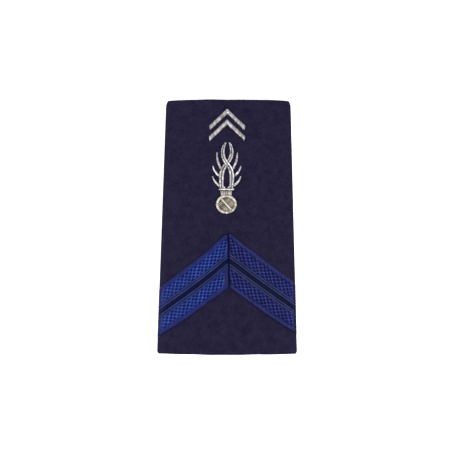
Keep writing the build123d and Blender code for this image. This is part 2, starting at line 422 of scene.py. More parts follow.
def sleeve_mesh():
    rings = []
    for y, inset in tube_profile():
        x, z = tube_ring(y, inset, 1.0 if inset < CLOTH_WALL / 2 else 0.0).T
        end = np.sign(y)
        near_end = np.clip((abs(y) - HALF_LENGTH + END_REACH) / END_REACH, 0, 1) ** 2
        wander = LONG_WAVE_SIZE * np.sin(x / LONG_WAVE + end)
        wander += SHORT_WAVE_SIZE * np.sin(x / SHORT_WAVE + 2)
        skew = END_SKEW * (1 - end * x / (WIDE_END_WIDTH / 2))
        recess = near_end * (END_RECESS + skew + wander)
        rings.append(np.stack([x, y - end * (corner_pull(x, y) + recess), z], axis=-1))
    return np.concatenate(rings), grid_faces(len(rings), len(rings[0]), True, True)


sleeve_points, sleeve_faces = sleeve_mesh()
sleeve = make_piece("cloth_sleeve", sleeve_points, sleeve_faces, WOOL, ["sleeve"])

# %% [markdown]
# ## Woven rayon braid
# The braid is a flat tape of shiny rayon. A black stripe runs along its middle. Next to it lie two
# fine straight cords on each side, then a trellis of crossing cords with dark holes between them,
# and at the outer edge a smooth satin selvedge with a groove inside it. Where the braid turns down
# the side, the pull of the fold closes the holes. Its colour is painted darker where it turns down
# the side, at its very edge and along the right arm's seam: painted shade. The relief is real
# geometry: a fine grid laid on the cloth, each point raised by what the weave does there. Two
# numbers say where a point is in the weave: how far along the stripe, and how far from it. The two
# arms differ a little, as they do on the real one.

# %% Sizes of the braid
APEX_Y = {"left": -13.45, "right": -12.8}
ARM_FALL = {"left": 20.4, "right": 18.9}
SIDE_X = 26.9
BRAID_THICKNESS = 0.9
APEX_FLAT = 1.0
MITRE_GAP = 0.3
MITRE_TOP, MITRE_LENGTH, MITRE_FOOT_SHIFT = 11.25, 21.65, 0.5
COLUMNS, ROWS = 352, 208
# distance from the mitre, how far the stripe bows up, and the weave's reach above and below it
ARM_STATIONS = {
    "left": [
        (0.0, 0.5, 11.15, 10.9),
        (4.0, 0.05, 11.1, 10.4),
        (9.0, -0.15, 10.4, 10.1),
        (18.0, -0.1, 10.25, 10.0),
        (24.0, 0.15, 9.95, 9.5),
        (27.0, 0.2, 9.8, 9.1),
    ],
    "right": [
        (0.0, 0.3, 10.95, 10.35),
        (4.0, 0.25, 10.8, 10.5),
        (9.0, 0.0, 10.65, 10.4),
        (18.0, -0.1, 10.3, 10.35),
        (24.0, -0.1, 10.25, 9.95),
        (27.0, -0.1, 10.2, 9.5),
    ],
}
print("points in the grid of an arm:", (COLUMNS + 1) * (ROWS + 1))

# %% Places on an arm
WRAP_ANGLE, WRAP_SHARE = math.radians(-24), 0.8
PLAN_PASSES = 3


def station(side, x, column):
    table = np.array(ARM_STATIONS[side])
    return np.interp(x, table[:, 0], table[:, column])


def above(side, x):
    """Reach of the weave above the stripe, cut flat at the apex."""
    cut = np.maximum(APEX_FLAT - x, 0) * ARM_FALL[side] / SIDE_X
    return station(side, x, 2) - cut


def below(side, x):
    return -station(side, x, 3)


def seam_at(side, up):
    """How far from the middle an arm begins, up above its stripe; the mitre leans a little."""
    facing = 1 if side == "right" else -1
    return MITRE_GAP / 2 + facing * MITRE_FOOT_SHIFT * (MITRE_TOP - up) / MITRE_LENGTH


def seen_across(across, y):
    """Distance from the middle as seen from above, which grows no more past the side."""
    half_width = crown_at(y)[0]
    contact_x, contact = contact_across(y, BRAID_THICKNESS)
    fold = SIDE_FOLD_RADIUS + BRAID_THICKNESS
    angle = np.clip(contact - (across - contact_x) / fold, 0, contact)
    return np.where(across > contact_x, half_width - SIDE_FOLD_RADIUS + fold * np.cos(angle), across)


def arm_grid(side, columns, rows, low, high):
    """Grid on an arm: distance across the front, y, and height above the stripe in plan.

    Each of these needs the others, so they are worked out in a few passes.
    """
    share = np.linspace(0, 1, columns + 1)[:, None]
    part = np.linspace(0, 1, rows + 1)[None, :]
    x = share * SIDE_X + 0 * part
    for _ in range(PLAN_PASSES):
        up = low(side, x) + part * (high(side, x) - low(side, x))
        y = APEX_Y[side] - ARM_FALL[side] * x / SIDE_X + station(side, x, 1) + up
        seam = seam_at(side, up)
        contact_x, contact = contact_across(y, BRAID_THICKNESS)
        wrap = (contact - WRAP_ANGLE) * (SIDE_FOLD_RADIUS + BRAID_THICKNESS)
        end = contact_x + wrap * WRAP_SHARE
        across = seam + share * (end - seam)
        x = seen_across(across, y)
    return across, y, up


def slope_of(side):
    return math.atan2(ARM_FALL[side], SIDE_X)


def weave_place(side, across, up):
    """Distance along the stripe and from its middle line, in mm."""
    slope = slope_of(side)
    return across / math.cos(slope) - up * math.sin(slope), up * math.cos(slope)


print("slope of the arms:", {side: round(math.degrees(slope_of(side)), 1) for side in ARM_FALL})

# %% The trellis of crossing cords
CELL_ALONG, CELL_ACROSS, CELL_LEAN = 2.1, 1.71, 0.116
CORD_SPREAD, CORD_ROUNDNESS, CORD_HEIGHT = 0.3, 0.6, 0.74
WEAVE_RISE, CORD_CHANCE = 0.15, 0.06
TWIST_RISE, TWISTS_PER_CELL = 0.07, 3
GROOVE_DEPTH, GROOVE_WIDTH = 0.1, 0.06
CROSSING_SWELL = 0.16
# how far the cords stray along the stripe, and how fast that changes along and across it
STRAYS = [(0.09, 0.83, 1.1), (0.05, 2.1, -1.7)]


def smooth(value):
    value = np.clip(value, 0, 1)
    return value * value * (3 - 2 * value)


def trellis(s, t):
    """Height of the crossing cords over the holes, and the place of the nearest hole.

    s is the distance along the stripe and t the distance from it.
    """
    s = s + sum(size * np.sin(with_s * s + with_t * t) for size, with_s, with_t in STRAYS)
    leaning = (s - CELL_LEAN * t) / CELL_ALONG
    rising, falling = leaning + t / CELL_ACROSS, leaning - t / CELL_ACROSS
    cords = []
    for one, other, turn in ((rising, falling, 1), (falling, rising, -1)):
        nearest = np.round(one)
        off = one - nearest
        over = turn * WEAVE_RISE * np.cos(np.pi * (other + nearest))
        uneven = CORD_CHANCE * np.sin(2.4 * nearest + turn)
        twist = TWIST_RISE * np.cos(2 * np.pi * (TWISTS_PER_CELL * other + 2 * off))
        groove = GROOVE_DEPTH * np.exp(-((off / GROOVE_WIDTH) ** 2))
        roundness = np.clip(1 - (off / CORD_SPREAD) ** 2, 0, 1) ** CORD_ROUNDNESS
        cords.append(roundness * (CORD_HEIGHT + over + uneven + twist - groove))
    height = np.maximum(*cords) + CROSSING_SWELL * np.sqrt(cords[0] * cords[1])
    hole_rising, hole_falling = np.floor(rising) + 0.5, np.floor(falling) + 0.5
    hole_t = (hole_rising - hole_falling) / 2 * CELL_ACROSS
    hole_s = (hole_rising + hole_falling) / 2 * CELL_ALONG + CELL_LEAN * hole_t
    return height, hole_s, hole_t


print("trellis cells along an arm:", round(SIDE_X / CELL_ALONG))

# %% Straight cords and selvedge
EDGE_CORDS = [(1.08, 0.36), (2.0, 0.36)]
EDGE_CORD_HEIGHT, EDGE_CORD_BEAD, EDGE_CORD_TWIST = 0.74, 0.24, 0.35
RIB_PITCH = 0.5
SELVEDGE = 1.5
# size of a wave in its width, how fast it runs, and how the two sides are out of step
SELVEDGE_WAVES = [(0.18, 0.72, 1), (0.12, 2.9, 2)]


def straight_cords(s, from_stripe):
    """Height of the two twisted cords that run along the stripe."""
    cords = np.zeros_like(s)
    for middle, half in EDGE_CORDS:
        place = (from_stripe - middle) / half
        twist = np.cos(2 * np.pi * (s / RIB_PITCH + EDGE_CORD_TWIST * place))
        bead = EDGE_CORD_HEIGHT + EDGE_CORD_BEAD * twist
        cords = np.maximum(cords, np.sqrt(np.clip(1 - place**2, 0, 1)) * bead)
    return cords


def border(s, t):
    """Width of the satin selvedge, which waves along the braid, as its edge isn't even."""
    waves = (size * np.sin(s * rate + np.sign(t) * step) for size, rate, step in SELVEDGE_WAVES)
    return SELVEDGE + sum(waves)


print("width of the selvedge in mm:", SELVEDGE, "waving by", sum(w[0] for w in SELVEDGE_WAVES))

# %% Satin and painted shade
TURNED_STRIP, TURNED_SATIN = 1.3, 0.6
SOFT_EDGE = 0.25
# painted shade along the braid's edges, strongest at the lower ones, and at the side fold and the
# seam
UPPER_EDGE_SHADE, LOWER_EDGE_SHADE = 0.6, {"left": 0.8, "right": 1.0}
EDGE_SHADE_WIDTH, SEAM_SHADE_WIDTH, SEAM_SHADE_SOFT = 0.42, 0.6, 0.35
FOLD_SHADE_START, FOLD_SHADE_LENGTH = 0.7, 1.3


def satin_share(s, t, from_edge, from_fold, seam, strip):
    """How much of a place is smooth satin: the selvedge, a strip by the seam, the turned end."""
    selvedge = smooth((border(s, t) - from_edge) / SOFT_EDGE)
    by_seam = smooth((strip - seam) / SOFT_EDGE) * (strip > 0)
    turned_end = TURNED_SATIN * smooth(1 - from_fold / TURNED_STRIP)
    return np.maximum(np.maximum(selvedge, by_seam), turned_end)


def painted_shade_share(side, t, from_edge, from_fold, seam):
    """How much painted shade darkens a place: at the braid's edge, the side fold and the seam."""
    edge = np.where(t > 0, UPPER_EDGE_SHADE, LOWER_EDGE_SHADE[side])
    edge = edge * smooth((EDGE_SHADE_WIDTH - from_edge) / SOFT_EDGE)
    fold = smooth((FOLD_SHADE_START - from_fold) / FOLD_SHADE_LENGTH)
    painted_shade = np.maximum(fold, edge)
    if side == "right":
        painted_shade = np.maximum(painted_shade, smooth((SEAM_SHADE_WIDTH - seam) / SEAM_SHADE_SOFT))
    return painted_shade


print("braid that turns down the side, in mm:", TURNED_STRIP)

# %% The whole relief
STRIPE_HALF, STRIPE_BED_MARGIN, CHANNEL_DEPTH = 0.62, 0.02, 0.45
TRELLIS_START = 2.5
SELVEDGE_GROOVE, SELVEDGE_GROOVE_DEPTH = 0.3, 0.35
SATIN_HEIGHT, SATIN_RIB = 0.66, 0.09
GROUND_HEIGHT, GROUND_RISE, GROUND_PITCH = 0.1, 0.07, 0.42
CLOSED_HEIGHT, BETWEEN_CORDS = 0.5, 0.15
FOLD_STRIP = 1.6
HOLE_TO_SELVEDGE, HOLE_TO_SEAM = 0.45, 0.4
FLOOR_LIFT, CORD_LIFT, EDGE_LIFT = 0.42, 0.88, 0.1
EDGE_ROUNDING, UPPER_SEAM_ROUNDING = 0.55, 0.22
SEAM_ROUNDING = {"left": 0.3, "right": 0.55}
SHADE_ON_HEIGHT, SHADE_ON_CORD = 0.8, 0.7
# how far a millimetre along the stripe goes across the slide
PLAN_SHARE = 0.8


def braid_relief(side, across, y, up, above_edge, below_edge):
    """Lift of the braid's face above the cloth, and what shows there."""
    s, t = weave_place(side, across, up)
    from_stripe = np.abs(t)
    from_edge = np.where(t > 0, above_edge, below_edge)
    from_fold = contact_across(y, BRAID_THICKNESS)[0] - across
    seam = across - seam_at(side, up)
    strip = FOLD_STRIP * (t < -STRIPE_HALF) if side == "left" else 0 * t
    height, hole_s, hole_t = trellis(s, t)
    past_hole = (s - hole_s) * PLAN_SHARE
    hole_from_edge = from_edge + np.sign(t) * (t - hole_t)
    closed = hole_from_edge < border(hole_s, t) + HOLE_TO_SELVEDGE
    closed |= seam - past_hole < strip + HOLE_TO_SEAM
    closed |= from_fold + past_hole < TURNED_STRIP
    ground_s, ground_t = (np.cos(2 * np.pi * place / GROUND_PITCH) for place in (s, t))
    ground = GROUND_HEIGHT + GROUND_RISE * ground_s * ground_t
    height = np.maximum(height, np.where(closed, CLOSED_HEIGHT, ground))
    groove = np.exp(-(((from_edge - border(s, t)) / SELVEDGE_GROOVE - 1) ** 2))
    height *= 1 - SELVEDGE_GROOVE_DEPTH * groove
    satin = satin_share(s, t, from_edge, from_fold, seam, strip)
    ribbed = SATIN_HEIGHT + SATIN_RIB * np.cos(2 * np.pi * s / RIB_PITCH)
    height = height * (1 - satin) + satin * ribbed
    cords = straight_cords(s, from_stripe)
    plain = smooth((TRELLIS_START - from_stripe) / 0.1)
    height = np.where(plain > 0.5, np.maximum(cords, BETWEEN_CORDS), height)
    stripe_bed = from_stripe < STRIPE_HALF + STRIPE_BED_MARGIN
    bed_lift = BRAID_THICKNESS - CHANNEL_DEPTH - STRIPE_BED_MARGIN
    lift = np.where(stripe_bed, bed_lift, FLOOR_LIFT + (CORD_LIFT - FLOOR_LIFT) * height)
    seam_rounding = np.where(t > 0, UPPER_SEAM_ROUNDING, SEAM_ROUNDING[side])
    for distance, radius in ((from_edge, EDGE_ROUNDING), (seam, seam_rounding)):
        into = 1 - np.clip(distance / radius, 0, 1)
        lift = EDGE_LIFT + (lift - EDGE_LIFT) * np.sqrt(np.clip(1 - into**2, 0, 1))
    # painted shade: the colour attributes below are darkened at the edge, the side fold and the seam
    painted_shade = painted_shade_share(side, t, from_edge, from_fold, seam)
    shown = {
        "height": np.where(stripe_bed, 0, height) * (1 - SHADE_ON_HEIGHT * painted_shade),
        "satin": satin * (plain < 0.5) * (1 - painted_shade),
        "cord": (cords > 0.2) * plain * (1 - SHADE_ON_CORD * painted_shade),
    }
    return lift, shown


print("depth of the relief in mm:", round(CORD_LIFT - FLOOR_LIFT, 2))

# %% [markdown]
# ## Rayon's look
# Rayon filament is glossy, so the cords catch a soft highlight, while the holes between them are
# painted a much darker blue: painted shade. The left arm's colours are brighter and bluer than the
# right arm's: painted light, as the left arm faces the light. The straight cords by the stripe are
# greyer. Each colour is mixed by what the weave does at that point, which the mesh stores as
# attributes: its height, and whether it is satin or straight cord. These also carry the braid's
# painted shade. The lower a place lies, the less light reaches it, so two numbers dim the deepest
# places and brighten the tops: painted shade and painted light. Single filaments are finer than
# 0.02 mm and never show, so the fine bump draws bundles of them, 0.15 mm wide.

# %% Rayon material
FILAMENT_MM = 0.15
PATCH_MM = 3.5


def rayon_braid(name, cord_hex, hole_hex, satin_hex, edge_cord_hex, hole_light, top_light):
    material, shader = new_material(name)
    height, satin, cord = (
        add_node(material, "ShaderNodeAttribute", {"attribute_name": shown})
        for shown in ("height", "satin", "cord")
    )
    place = add_node(material, "ShaderNodeTexCoord")
    patches = add_node(
        material,
        "ShaderNodeTexNoise",
        {"Scale": 1 / (PATCH_MM * MM), "Detail": 2.0},
        {"Vector": place.outputs["Object"]},
    )
    filament = add_node(
        material,
        "ShaderNodeTexWave",
        {
            "bands_direction": "DIAGONAL",
            "Scale": WAVE_REPEAT / (FILAMENT_MM * MM),
            "Distortion": 3.0,
            "Detail Scale": 0.5,
        },
        {"Vector": place.outputs["Object"]},
    )
    rise = add_node(
        material,
        "ShaderNodeMapRange",
        {"From Min": 0.28, "From Max": 0.95},
        {"Value": height.outputs["Fac"]},
    )
    # painted shade: the holes are mixed towards a far darker blue than the cords
    trellis_colour = add_node(
        material,
        "ShaderNodeMix",
        {"data_type": "RGBA", 6: linear(hole_hex), 7: linear(cord_hex)},
        {"Factor": rise.outputs["Result"]},
    )
    with_satin = add_node(
        material,
        "ShaderNodeMix",
        {"data_type": "RGBA", 7: linear(satin_hex)},
        {"Factor": satin.outputs["Fac"], 6: trellis_colour.outputs[2]},
    )
    with_cord = add_node(
        material,
        "ShaderNodeMix",
        {"data_type": "RGBA", 7: linear(edge_cord_hex)},
        {"Factor": cord.outputs["Fac"], 6: with_satin.outputs[2]},
    )
    patch_light = add_node(
        material,
        "ShaderNodeMapRange",
        {"From Min": 0.3, "From Max": 0.7, "To Min": 0.82, "To Max": 1.18},
        {"Value": patches.outputs["Fac"]},
    )
    # painted shade and light: the lowest places are dimmed and the tops brightened
    depth_light = add_node(
        material,
        "ShaderNodeMapRange",
        {"From Min": 0.2, "From Max": 1.05, "To Min": hole_light, "To Max": top_light},
        {"Value": height.outputs["Fac"]},
    )
    light = add_node(
        material,
        "ShaderNodeMath",
        {"operation": "MULTIPLY"},
        {0: patch_light.outputs["Result"], 1: depth_light.outputs["Result"]},
    )
    colour = add_node(
        material,
        "ShaderNodeVectorMath",
        {"operation": "SCALE"},
        {0: with_cord.outputs[2], "Scale": light.outputs["Value"]},
    )
    bump = add_node(
        material,
        "ShaderNodeBump",
        {"Strength": 0.4, "Distance": 0.05 * MM},
        {"Height": filament.outputs["Fac"]},
    )
    material.node_tree.links.new(colour.outputs["Vector"], shader.inputs["Base Color"])
    material.node_tree.links.new(bump.outputs["Normal"], shader.inputs["Normal"])
    shader.inputs["Roughness"].default_value = 0.48
    shader.inputs["IOR"].default_value = 1.53
    shader.inputs["Specular IOR Level"].default_value = 0.06
    return material


# the left arm's colours are painted brighter and bluer than the right arm's: painted light
RAYON_LOOKS = {
    # cord, hole, satin and straight cord, then the light in the holes and on the tops
    "left": ("#273a71", "#020f66", "#1b1f4c", "#262f5c", 0.43, 1.42),
    "right": ("#23295a", "#010648", "#1d214e", "#2a3057", 0.28, 1.6),
}
RAYON = {
    side: rayon_braid(f"woven_rayon_braid_{side}", *looks) for side, looks in RAYON_LOOKS.items()
}
print("materials:", [m.name for m in RAYON.values()])

# %% [markdown]
# ## Laying the braid
# The top of each arm is the fine grid. The underside only has to follow the cloth, so it is a
# coarse grid, and the walls between them are single faces that join many points to two. From
# 2 mm before the side fold on, the braid is pressed thinner, as in the photograph it makes no
# bump at the sides.

# %% Lay a woven strip on the front
SEAT_GAP = 0.05
UNDERSIDE_STEP = 16
BRAID_SPRING = 1.0025
PRESSED_SHARE, PRESS_BEFORE_FOLD, PRESS_LENGTH = 0.72, 2.0, 2.6


def laid_strip(side, across, y, lift, under_lift):
    """Points and faces of a closed strip: fine face, coarse underside, walls between."""
    way = -1 if side == "left" else 1
    step, base = UNDERSIDE_STEP, BRAID_THICKNESS
    columns, rows = across.shape[0] - 1, across.shape[1] - 1
    past = across - contact_across(y, base)[0] + PRESS_BEFORE_FOLD
    thin = 1 - PRESSED_SHARE * smooth(past / PRESS_LENGTH)
    top = front_point(way * across, y, SEAT_GAP + (lift - SEAT_GAP) * thin, base)
    pick = (slice(None, None, step), slice(None, None, step))
    under = front_point(way * across[pick], y[pick], SEAT_GAP + under_lift * thin[pick], base)
    points = np.concatenate([top.reshape(-1, 3), under.reshape(-1, 3)]) * [BRAID_SPRING, 1, 1]
    width, start = rows + 1, (columns + 1) * (rows + 1)
    few_columns, few_rows = columns // step, rows // step
    few_width = few_rows + 1
    faces = grid_faces(columns + 1, width, False, False)
    faces += [f[::-1] for f in grid_faces(few_columns + 1, few_width, False, False, start)]
    for i in range(few_columns):
        span = range(i * step, (i + 1) * step + 1)
        for row, few_row, turn in ((0, 0, 1), (rows, few_rows, -1)):
            wall = [start + (i + 1) * few_width + few_row, start + i * few_width + few_row]
            wall += [c * width + row for c in span]
            faces.append(wall[::turn])
    for j in range(few_rows):
        span = range(j * step, (j + 1) * step + 1)
        for column, few_column, turn in ((0, 0, -1), (columns, few_columns, 1)):
            wall = [start + few_column * few_width + j + 1, start + few_column * few_width + j]
            wall += [column * width + r for r in span]
            faces.append(wall[::turn])
    if side == "right":
        faces = [f[::-1] for f in faces]
    return points, [tuple(f) for f in faces], start, len(points)


def braid_arm(side):
    across, y, up = arm_grid(side, COLUMNS, ROWS, below, above)
    t = weave_place(side, across, up)[1]
    lift, shown = braid_relief(side, across, y, up, t[:, -1:] - t, t - t[:, :1])
    points, faces, start, total = laid_strip(side, across, y, lift, 0.0)
    spare = np.zeros(total - start)
    shown = {key: np.concatenate([np.ravel(value), spare]) for key, value in shown.items()}
    name, node = f"woven_braid_{side}", f"braid_{side}"
    return make_piece(name, points, faces, RAYON[side], [node], shown)


braids = [braid_arm(side) for side in ARM_FALL]

# %% [markdown]
# ## The black stripe
# A narrow band of black rayon lies in the channel between the cords. Its weft is beaten up hard,
# which shows as small cross ribs, 0.65 mm apart. At the mitre its end is turned down.

# %% Stripe
RIB_MM, RIB_LEAN = 0.65, 0.25
STRIPE_ROWS = 16
STRIPE_BASE, STRIPE_DOME, STRIPE_RIB = 0.12, 0.2, 0.07
STRIPE_END_DROP, STRIPE_END_LENGTH = 0.3, 0.5


def black_rayon():
    material, shader = new_material("ribbed_black_rayon")
    rib = add_node(material, "ShaderNodeAttribute", {"attribute_name": "height"})
    # painted shade: the hollows between the ribs and the stripe's sides are coloured darker than the
    # rib tops
    colour = add_node(
        material,
        "ShaderNodeMix",
        {"data_type": "RGBA", 6: linear("#000218"), 7: linear("#01082f")},
        {"Factor": rib.outputs["Fac"]},
    )
    material.node_tree.links.new(colour.outputs[2], shader.inputs["Base Color"])
    shader.inputs["Roughness"].default_value = 0.5
    shader.inputs["IOR"].default_value = 1.53
    shader.inputs["Specular IOR Level"].default_value = 0.06
    return material


BLACK_RAYON = black_rayon()


def braid_stripe(side):
    half = STRIPE_HALF - SEAT_GAP
    rise = half / math.cos(slope_of(side))
    across, y, up = arm_grid(
        side, COLUMNS, STRIPE_ROWS, lambda _, x: -rise + 0 * x, lambda _, x: rise + 0 * x
    )
    s, t = weave_place(side, across, up)
    rib = 0.5 + 0.5 * np.cos(2 * np.pi * (s + RIB_LEAN * np.abs(t)) / RIB_MM)
    height = rib * np.sqrt(np.clip(1 - (t / half) ** 2, 0, 1))
    dome_height = np.sqrt(np.clip(1 - (t / half) ** 4, 0, 1))
    floor = BRAID_THICKNESS - CHANNEL_DEPTH
    lift = floor + STRIPE_BASE + STRIPE_DOME * dome_height + STRIPE_RIB * height
    lift -= STRIPE_END_DROP * (1 - smooth((across - seam_at(side, up)) / STRIPE_END_LENGTH))
    points, faces, start, total = laid_strip(side, across, y, lift, floor)
    shown = {"height": np.concatenate([height.ravel(), np.zeros(total - start)])}
    name, node = f"black_stripe_{side}", f"braid_stripe_{side}"
    return make_piece(name, points, faces, BLACK_RAYON, [node], shown)


stripes = [braid_stripe(side) for side in ARM_FALL]

# %% [markdown]
# ## Silver thread
# Metallic embroidery thread is a ribbon of aluminium foil wound round a core. Its many small turns
# each mirror another part of the room, so one stitch is bright and the next one dark. A metal
# shader gives the mirror, and each stitch is also painted its own tone between a dull and a bright
# colour: painted reflection. A bump breaks the surface into facets of about 0.2 mm, a usual width
# of such foil. Under the stitches lies a padding of grey thread, which shows in the gaps.

# %% Silver material
FACET_MM = 0.22


def silver_thread(name, bright_hex, dull_hex, glitter):
    material, shader = new_material(name)
    tone = add_node(material, "ShaderNodeAttribute", {"attribute_name": "tone"})
    place = add_node(material, "ShaderNodeTexCoord")
    facets = add_node(
        material,
        "ShaderNodeTexNoise",
        {"Scale": 1 / (FACET_MM * MM), "Detail": 1.0},
        {"Vector": place.outputs["Object"]},
    )
    # painted reflection: each stitch's tone mixes the dull and the bright colour
    colour = add_node(
        material,
        "ShaderNodeMix",
        {"data_type": "RGBA", 6: linear(dull_hex), 7: linear(bright_hex)},
        {"Factor": tone.outputs["Fac"]},
    )
    bump = add_node(
        material,
        "ShaderNodeBump",
        {"Strength": glitter, "Distance": 0.12 * MM},
        {"Height": facets.outputs["Fac"]},
    )
    material.node_tree.links.new(colour.outputs[2], shader.inputs["Base Color"])
    material.node_tree.links.new(bump.outputs["Normal"], shader.inputs["Normal"])
    shader.inputs["Metallic"].default_value = 1.0
    shader.inputs["Roughness"].default_value = 0.36
    return material


SMOOTH_SILVER = silver_thread("wound_foil_thread_smooth", "#f4f0ef", "#565252", 0.55)
SILVER = silver_thread("wound_foil_thread", "#f3efed", "#565052", 0.85)
WARM_SILVER = silver_thread("wound_foil_thread_warm", "#f8f2e9", "#5e574b", 0.9)
DULL_SILVER = silver_thread("wound_foil_thread_dull", "#e4dac6", "#2a2418", 0.9)
print("materials:", [m.name for m in (SMOOTH_SILVER, SILVER, WARM_SILVER, DULL_SILVER)])

# %% [markdown]
# ## Satin stitch
# A machine embroiders a shape as satin stitch: threads laid side by side from one edge of the
# shape to the other, over a padding that makes them dome. So a shape is given by its two edges,
# and the stitches are the rungs between them. Each is a small tube that rises steeply out of the
# cloth, runs over the dome and dives in again. A little chance in each keeps the hand of thread.

# %% Rungs between two edges
STITCH_PITCH = 0.27
FAN_LENGTH = 2.0
LINE_POINTS, POINTS_PER_STITCH = 60, 40
PITCH_CHANCE = 0.2
chance = random.Random(7)


def spread(points, count):
    """Points spaced evenly along a line of points."""
    points = np.asarray(points, float)
    run = np.concatenate([[0], np.cumsum(np.linalg.norm(np.diff(points, axis=0), axis=1))])
    places = np.linspace(0, run[-1], count)
    return np.stack([np.interp(places, run, points[:, k]) for k in range(2)], axis=-1), run[-1]


def rungs(one_edge, other_edge, slant=0.0, pitch=STITCH_PITCH, uneven=0.0, foot_slant=None):
    """Stitches from one edge to the other; slant carries the far end along, in mm.

    Their ends pass the edges by up to uneven, or fall as much short of them. Towards the foot of
    the column the slant goes over to foot_slant, if there is one.
    """
    middle = (spread(one_edge, LINE_POINTS)[0] + spread(other_edge, LINE_POINTS)[0]) / 2
    length = spread(middle, LINE_POINTS)[1]
    count = max(3, round(length / pitch))
    fine = POINTS_PER_STITCH * count
    one, other = spread(one_edge, fine)[0], spread(other_edge, fine)[0]
    stitches = []
    for i in range(count):
        start = (i + 0.5) / count + chance.uniform(-PITCH_CHANCE, PITCH_CHANCE) / count
        lean = slant
        if foot_slant is not None:
            lean = np.interp((1 - start) * length, (0, FAN_LENGTH), (foot_slant, slant))
        end = min(max(start + lean / length, 0), 1)
        a = one[int(min(max(start, 0), 1) * (fine - 1))]
        b = other[int(end * (fine - 1))]
        ahead = (b - a) / max(np.linalg.norm(b - a), 0.1) * uneven
        stitches.append((a - ahead * chance.uniform(-1, 1), b + ahead * chance.uniform(-1, 1)))
    return stitches


print("stitches to a centimetre:", round(10 / STITCH_PITCH))

# %% Trim stitches that run under another shape
TRIM_STEPS, SHORTEST_STITCH = 25, 0.3


def inside(points, outline):
    """Which points lie inside a closed outline."""
    x, y = points[:, 0], points[:, 1]
    hit = np.zeros(len(points), bool)
    for (x0, y0), (x1, y1) in zip(outline, np.roll(outline, -1, axis=0)):
        crosses = (y0 > y) != (y1 > y)
        with np.errstate(divide="ignore", invalid="ignore"):
            hit ^= crosses & (x < (x1 - x0) * (y - y0) / (y1 - y0) + x0)
    return hit


def trim(stitches, outline):
    """Stitches cut back where they run under a shape that lies on top; None where nothing is left."""
    kept = []
    share = np.linspace(0, 1, TRIM_STEPS)[:, None]
    for a, b in stitches:
        line = a + (b - a) * share
        clear = ~inside(line, outline)
        runs, start = [], None
        for i, free in enumerate([*clear, False]):
            if free and start is None:
                start = i
            if not free and start is not None:
                runs.append((i - start, start, i - 1))
                start = None
        longest = max(runs, default=(0, 0, 0))
        first, last = line[longest[1]], line[longest[2]]
        long_enough = clear.all() or np.linalg.norm(last - first) > SHORTEST_STITCH
        kept.append((first, last) if long_enough else None)
    return kept


print("shortest stitch that is kept, in mm:", SHORTEST_STITCH)

# %% Threads and padding
SILVER_THICKNESS = 0.7
THREAD_RADIUS, THREAD_FLATNESS = 0.15, 0.75
THREAD_SIDES, THREAD_STEPS = 8, 9
END_CROWDING, END_LIFT, END_THICKNESS = 0.35, 0.6, 0.7
HEIGHT_CHANCE = 0.03
TONE_DRIFT = 0.55
RING = np.linspace(0, 2 * np.pi, THREAD_SIDES, endpoint=False)
PADDING_ACROSS = np.array([0.1, 0.22, 0.4, 0.6, 0.78, 0.9])
PADDING_RISE = np.array([0.3, 0.75, 1.0, 1.0, 0.75, 0.3])


def dome(share):
    return 1 - np.abs(2 * share - 1) ** 3


def thread_tube(a, b, height):
    """Points of one stitch, ring by ring."""
    share = np.linspace(0, 1, THREAD_STEPS)
    share = share - END_CROWDING * np.sin(2 * np.pi * share) / (2 * np.pi)
    line = a + (b - a) * share[:, None]
    top = height - THREAD_RADIUS + chance.uniform(-HEIGHT_CHANCE, HEIGHT_CHANCE)
    low = THREAD_RADIUS * END_LIFT
    lift = low + (top - low) * dome(share)
    centre = front_point(line[:, 0], line[:, 1], SEAT_GAP + lift, height)
    ahead = np.gradient(centre, axis=0)
    ahead /= np.linalg.norm(ahead, axis=1)[:, None]
    beside = np.cross(ahead, [0.0, 0.0, 1.0])
    beside /= np.linalg.norm(beside, axis=1)[:, None]
    up = np.cross(beside, ahead)
    thick = THREAD_RADIUS * (END_THICKNESS + (1 - END_THICKNESS) * dome(share))
    sideways, upwards = np.cos(RING)[:, None], np.sin(RING)[:, None] * THREAD_FLATNESS
    turn = beside[:, None] * sideways + up[:, None] * upwards
    return (centre[:, None] + turn * thick[:, None, None]).reshape(-1, 3)


def padding(run, height):
    """Cross-sections of the padding under a run of stitches."""
    rise = PADDING_RISE * (height - 1.5 * THREAD_RADIUS)
    rings = []
    for a, b in run:
        line = a + (b - a) * PADDING_ACROSS[:, None]
        top = front_point(line[:, 0], line[:, 1], SEAT_GAP + rise, height)
        foot = front_point(line[[-1, 0], 0], line[[-1, 0], 1], SEAT_GAP, height)
        rings.append(np.concatenate([top, foot]))
    return rings


def column(stitches, tones, height=SILVER_THICKNESS, padded=True, painted_fade=0.0):
    """A column of stitches, the range of their tones, how high they stand, padded or not.

    painted_fade is how much darker each stitch is painted at its far end than at its near one.
    """
    return stitches, tones, height, padded, painted_fade


def unbroken(stitches):
    """The runs of stitches between the places marked None."""
    runs = [[]]
    for stitch in stitches:
        if stitch is None:
            runs.append([])
        else:
            runs[-1].append(stitch)
    return [run for run in runs if len(run) > 1]


